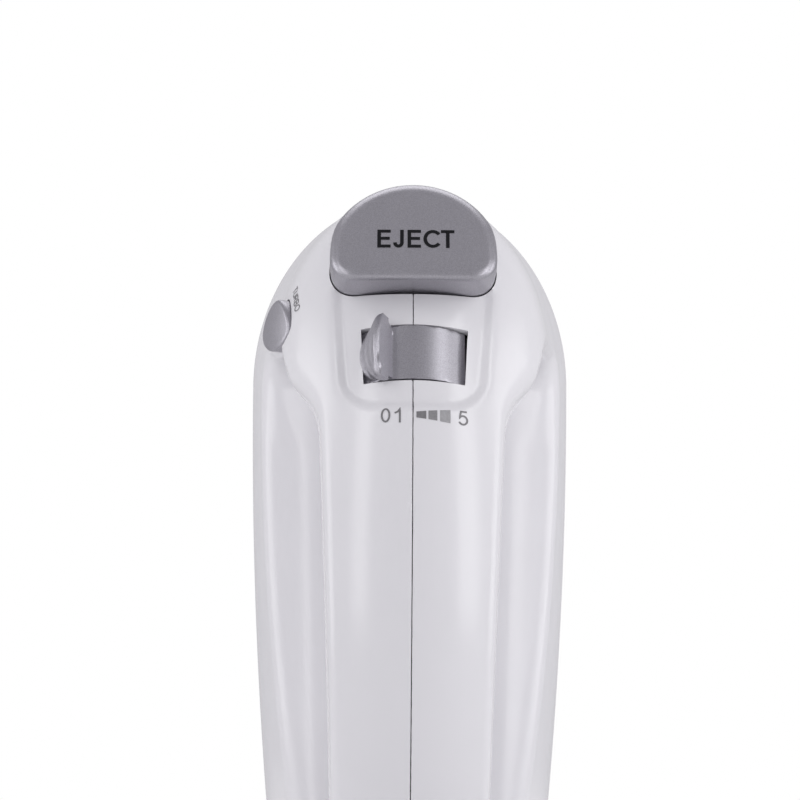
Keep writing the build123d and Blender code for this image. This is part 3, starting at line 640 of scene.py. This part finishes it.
# Strokes of each letter, where the letter is 1 high.
LETTERS = {
    "E": [[(0.6, 1), (0, 1), (0, 0), (0.6, 0)], [(0, 0.52), (0.55, 0.52)]],
    "J": [[(0.36, 1.09)] + arc(0.18, 0.24, 0.18, 0.24, 0, -180)],
    "C": [arc(0.4, 0.5, 0.4, 0.5, 38, 322)],
    "T": [[(0, 1), (0.7, 1)], [(0.35, 1), (0.35, -0.09)]],
    "U": [[(0, 1)] + arc(0.3, 0.3, 0.3, 0.3, 180, 360) + [(0.6, 1)]],
    "R": [[(0, 0), (0, 1), (0.35, 1)] + arc(0.35, 0.75, 0.25, 0.25, 75, -90) + [(0, 0.5)],
          [(0.32, 0.5), (0.62, 0)]],
    "B": [[(0, 0), (0, 1), (0.33, 1)] + arc(0.33, 0.76, 0.24, 0.24, 75, -90) + [(0, 0.52)],
          [(0.33, 0.52)] + arc(0.35, 0.26, 0.26, 0.26, 75, -90) + [(0, 0)]],
    "O": [arc(0.42, 0.5, 0.42, 0.5, 0, 360)],
    "0": [arc(0.28, 0.5, 0.28, 0.5, 0, 360)],
    "1": [[(0, 0.7), (0.24, 0.8), (0.38, 1.04), (0.38, -0.06)]],
    "5": [[(0.58, 1), (0.14, 1), (0.05, 0.48)] + arc(0.3, 0.33, 0.31, 0.33, 125, -155)],
}


def divided(path, step):
    """Path with extra points, so that no piece of it is longer than step."""
    points = [path[0]]
    for start, end in zip(path[:-1], path[1:]):
        count = max(int(np.ceil(np.linalg.norm(end - start) / step)), 1)
        points += [start + (end - start) * (k + 1) / count for k in range(count)]
    return np.array(points)


def ribbon(path, width):
    """Flat strip along a path, with mitred corners."""
    path = divided(np.array(path, float), 0.5)
    step = np.diff(path, axis=0)
    step /= np.linalg.norm(step, axis=1, keepdims=True)
    closed = np.allclose(path[0], path[-1])
    before = np.vstack([step[-1] if closed else step[0], step])
    after = np.vstack([step, step[0] if closed else step[-1]])
    along = before + after
    along /= np.linalg.norm(along, axis=1, keepdims=True)
    aside = np.stack([-along[:, 1], along[:, 0]], axis=1) * width / 2
    aside /= np.maximum(np.sum(along * after, axis=1, keepdims=True), 0.5)
    points = np.stack([path - aside, path + aside], axis=1).reshape(-1, 2)
    faces = [[2 * k, 2 * k + 2, 2 * k + 3, 2 * k + 1] for k in range(len(path) - 1)]
    return points, faces


def text_outline(words, starts, high, stroke):
    """Word in plain strokes, centred: each letter's start and the letters' height in millimetres."""
    points, faces = [], []
    for letter, start in zip(words, starts):
        for path in LETTERS[letter]:
            strip, quads = ribbon(np.array(path, float) * (high - stroke), stroke)
            faces += [[corner + len(points) for corner in quad] for quad in quads]
            points += [(px + start, py) for px, py in strip]
    points = np.array(points)
    points -= (points.max(axis=0) + points.min(axis=0)) / 2
    return points, faces


def print_on(name, outline, spot, right, up, field, direction, material, body):
    """Mark laid on a surface: drawn in a plane at spot, then dropped along direction."""
    flat, faces = outline
    right, up = np.array(right, float), np.array(up, float)
    points = np.array(spot, float) + flat[:, :1] * right + flat[:, 1:2] * up
    points = drop_on(field, points, direction)
    mark = mesh_piece(name, points, faces, material, sharp=180)
    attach(mark, body)
    return mark


def make_marks():
    """Names of the controls and the speed scale, in plain strokes."""
    black = ink("black_ink", (0.006, 0.006, 0.008))
    grey = ink("grey_ink", (0.2, 0.195, 0.205))
    mid_grey = ink("mid_grey_ink", (0.25, 0.245, 0.255))
    pale_grey = ink("pale_grey_ink", (0.36, 0.355, 0.37))
    cap_up = (0, EJECT_SLOPE * 0.875, 0.875)
    eject = text_outline("EJECT", (0.41, 4.07, 7.39, 11.04, 14.7), 5.3, 0.84)
    print_on("mark_eject", eject, (0.5, -95, 172.5), (1, 0, 0), cap_up, eject_field, (0, 1, 0), black,
             "eject_button")
    spot, (_, out, heelwards) = arch_frame(SCALE_Z)
    spot, up, inward = np.array(spot) + 4 * np.array(out), -np.array(heelwards), -np.array(out)

    def on_scale(name, outline, x, material):
        print_on(name, outline, spot + (x, 0, 0), (1, 0, 0), up, outer, inward, material, "casing")

    for name, digit, x, material in (("zero", "0", -6.2, grey), ("one", "1", -3.5, grey),
                                     ("five", "5", 11.45, mid_grey)):
        on_scale(f"mark_{name}", text_outline(digit, (0,), 3.5, 0.42), x, material)
    wedge = ((0.78, 3.0, grey), (3.5, 5.5, mid_grey), (6.15, 8.5, pale_grey))
    for k, (left, right, material) in enumerate(wedge):
        low, high = 0.64 + 0.115 * left, 0.64 + 0.115 * right
        rows = np.linspace(-1, 1, 9)
        block = np.array([(px, reach * row) for row in rows for px, reach in ((left, low), (right, high))])
        quads = [[2 * row, 2 * row + 1, 2 * row + 3, 2 * row + 2] for row in range(8)]
        on_scale(f"mark_wedge_{k}", (block, quads), 0, material)
    turbo = text_outline("TURBO", (0, 1.75, 3.4, 5.1, 6.75), 2.2, 0.3)
    print_on("mark_turbo", turbo, (-32.2, -71, 162.4), (0.48, -0.3, -0.82), (0.72, -0.5, 0.43), outer,
             (0.7, 0.7, -0.15), grey, "casing")


# ---- studio ----
FLOOR_R = 620
FLOOR_RINGS = 6
FLOOR_SIDES = 48
FLOOR_Z = -0.05


def make_floor():
    """Pale round floor, in rings round the mixer."""
    points, faces = [(0, 0, 0)], []
    for ring in range(1, FLOOR_RINGS + 1):
        for k in range(FLOOR_SIDES):
            angle = 2 * np.pi * k / FLOOR_SIDES
            reach = FLOOR_R * ring / FLOOR_RINGS
            points.append((reach * np.cos(angle), reach * np.sin(angle), FLOOR_Z))
    for ring in range(FLOOR_RINGS):
        for k in range(FLOOR_SIDES):
            after = (k + 1) % FLOOR_SIDES
            if ring == 0:
                faces.append((0, 1 + k, 1 + after))
            else:
                inner, outer_ring = 1 + FLOOR_SIDES * (ring - 1), 1 + FLOOR_SIDES * ring
                faces.append((inner + k, outer_ring + k, outer_ring + after, inner + after))
    color = (0.86, 0.86, 0.86)
    material, node = shader("pale_floor", color, 0.6)
    cover = noise(material, 40, 2)
    link(material, ramp(material, cover, shade(color, 0.99), shade(color, 1.01)), node, "Base Color")
    floor = mesh_piece("studio_floor", points, faces, material, 180)


def area_light(name, spot, target, width, height, radiance, color=(1, 1, 1)):
    """Soft box of that width and height in millimetres, as bright as radiance seen from the front."""
    data = bpy.data.lights.new(name, "AREA")
    data.shape = "RECTANGLE"
    data.size = width * MM
    data.size_y = height * MM
    data.energy = radiance * np.pi * data.size * data.size_y
    data.color = color
    light = bpy.data.objects.new(name, data)
    bpy.context.scene.collection.objects.link(light)
    light.location = Vector(spot) * MM
    aim = (Vector(target) - Vector(spot)).normalized()
    light.rotation_euler = aim.to_track_quat("-Z", "Y").to_euler()
    light.visible_camera = False
    return light


def make_light():
    """Soft boxes round the mixer, in a white world that lights it less than the camera sees."""
    area_light("nose_softbox", (0, 330, 950), (0, -20, 150), 800, 500, 1.7)
    area_light("left_softbox", (-610, -610, 260), (0, -90, 120), 180, 1250, 2.8)
    area_light("right_softbox", (650, -560, 260), (0, -90, 120), 250, 1250, 2.9)
    for side in (-1, 1):
        area_light(f"side_{side + 1}", (side * 950, -60, 220), (0, 0, 120), 500, 900, 1.9)
    world = bpy.data.worlds.new("studio")
    bpy.context.scene.world = world
    world.use_nodes = True
    tree = world.node_tree
    seen = tree.nodes["Background"]
    seen.inputs["Color"].default_value = (1, 1, 1, 1)
    seen.inputs["Strength"].default_value = 1.0
    ambient = tree.nodes.new("ShaderNodeBackground")
    ambient.inputs["Color"].default_value = (0.97, 0.96, 1, 1)
    ambient.inputs["Strength"].default_value = 0.5
    path = tree.nodes.new("ShaderNodeLightPath")
    mix = tree.nodes.new("ShaderNodeMixShader")
    tree.links.new(path.outputs["Is Camera Ray"], mix.inputs["Fac"])
    tree.links.new(ambient.outputs["Background"], mix.inputs[1])
    tree.links.new(seen.outputs["Background"], mix.inputs[2])
    tree.links.new(mix.outputs["Shader"], tree.nodes["World Output"].inputs["Surface"])
    bpy.context.scene.view_settings.view_transform = "Standard"


def make_camera():
    """Camera on the handle side, lower than the nose and looking slightly up at it."""
    spot, target = Vector((-5.07, -640, 66)), Vector((-2.6, 0, 145.74))
    data = bpy.data.cameras.new("camera")
    data.sensor_width = 36
    data.lens = 109.6
    data.clip_start = 0.01
    camera = bpy.data.objects.new("camera", data)
    bpy.context.scene.collection.objects.link(camera)
    look = (target - spot).normalized()
    turn = look.to_track_quat("-Z", "Y").to_matrix().to_4x4()
    roll = Matrix.Rotation(radians(0.377), 4, "Z")
    camera.matrix_world = Matrix.Translation(spot * MM) @ turn @ roll
    bpy.context.scene.camera = camera


paint_cad_nodes()
make_casing()
make_eject_button()
make_speed_dial()
make_turbo_button()
make_marks()
make_floor()
make_light()
make_camera()
